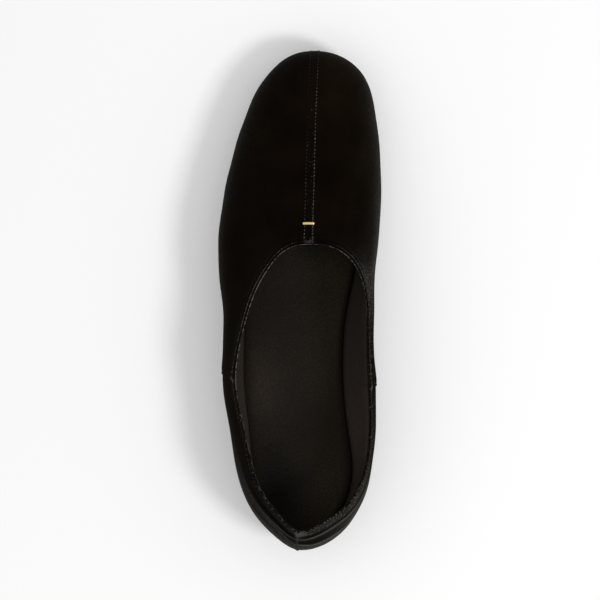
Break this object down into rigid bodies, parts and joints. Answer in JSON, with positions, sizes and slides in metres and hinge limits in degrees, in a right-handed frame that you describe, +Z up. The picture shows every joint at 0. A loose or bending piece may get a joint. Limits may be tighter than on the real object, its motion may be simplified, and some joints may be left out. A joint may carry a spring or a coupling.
{
  "type": "velvet slipper flat",
  "caption": "Low slip-on flat for the left foot: black velvet upper with a centre vamp seam and small gold bar, V-cut slack heel, dark leather insole, thin sole and low heel.",
  "frame": {"origin": "centre of the shoe's plan box, on the floor under the sole", "axes": "+Y from heel to toe, +X to the inner side of the left foot, +Z up"},
  "size_m": [0.0819, 0.2511, 0.0574],
  "materials": {
    "velvet": "black cotton velvet with a short pile",
    "sock_leather": "fine grained dark brown leather, satin",
    "sole_leather": "plain dark leather, matt",
    "heel_leather": "stacked dark leather, satin",
    "gold": "polished gold"
  },
  "bodies": {
    "root": {"upper": "velvet", "insole": "sock_leather", "outsole": "sole_leather", "heel": "heel_leather", "throat_bar": "gold"}
  },
  "joints": []
}
